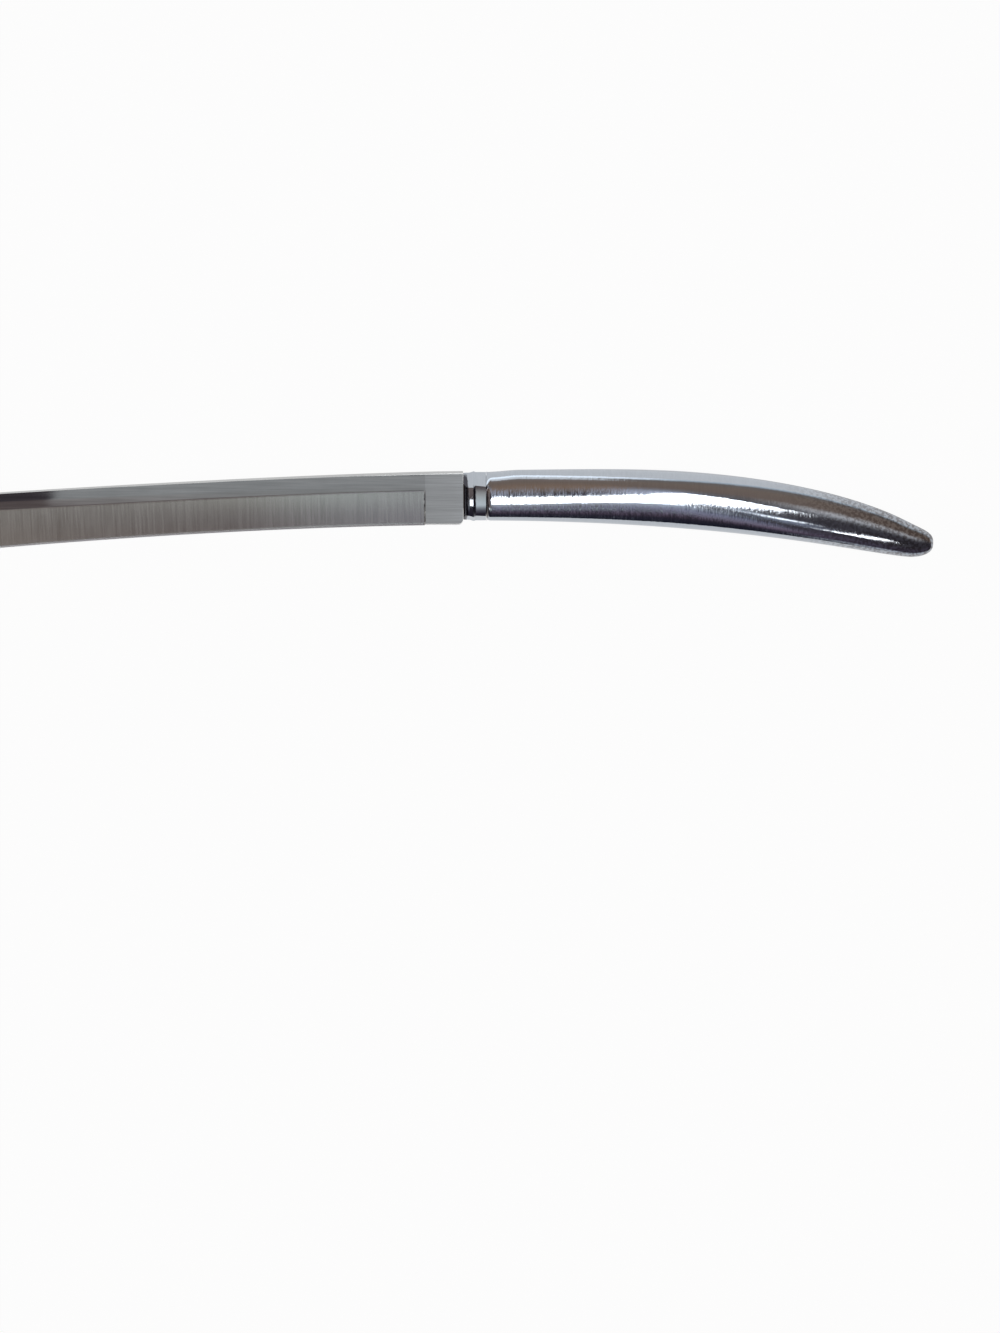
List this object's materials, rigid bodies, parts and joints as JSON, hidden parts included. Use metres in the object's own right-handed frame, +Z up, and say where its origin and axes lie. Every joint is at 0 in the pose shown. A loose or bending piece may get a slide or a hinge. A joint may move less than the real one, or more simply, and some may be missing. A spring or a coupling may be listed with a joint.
{
  "type": "carving knife",
  "caption": "Carving knife with a long hollow-ground blade, a beaded neck collar and a drooping hollow handle of polished metal, for slicing meat.",
  "frame": {"origin": "bottom centre of the knife's box as it lies on its side", "axes": "+X from the point towards the butt of the handle, +Y towards the spine, +Z up, out of the blade's left face"},
  "size_m": [0.3396, 0.0236, 0.0128],
  "materials": {
    "blade_steel": "satin",
    "polished_metal": "polished",
    "handle_cement": "matte"
  },
  "bodies": {
    "root": {"blade": "blade_steel", "neck_collar": "polished_metal", "handle_shell_left": "polished_metal", "handle_shell_right": "polished_metal", "cement_core": "handle_cement"}
  },
  "joints": []
}
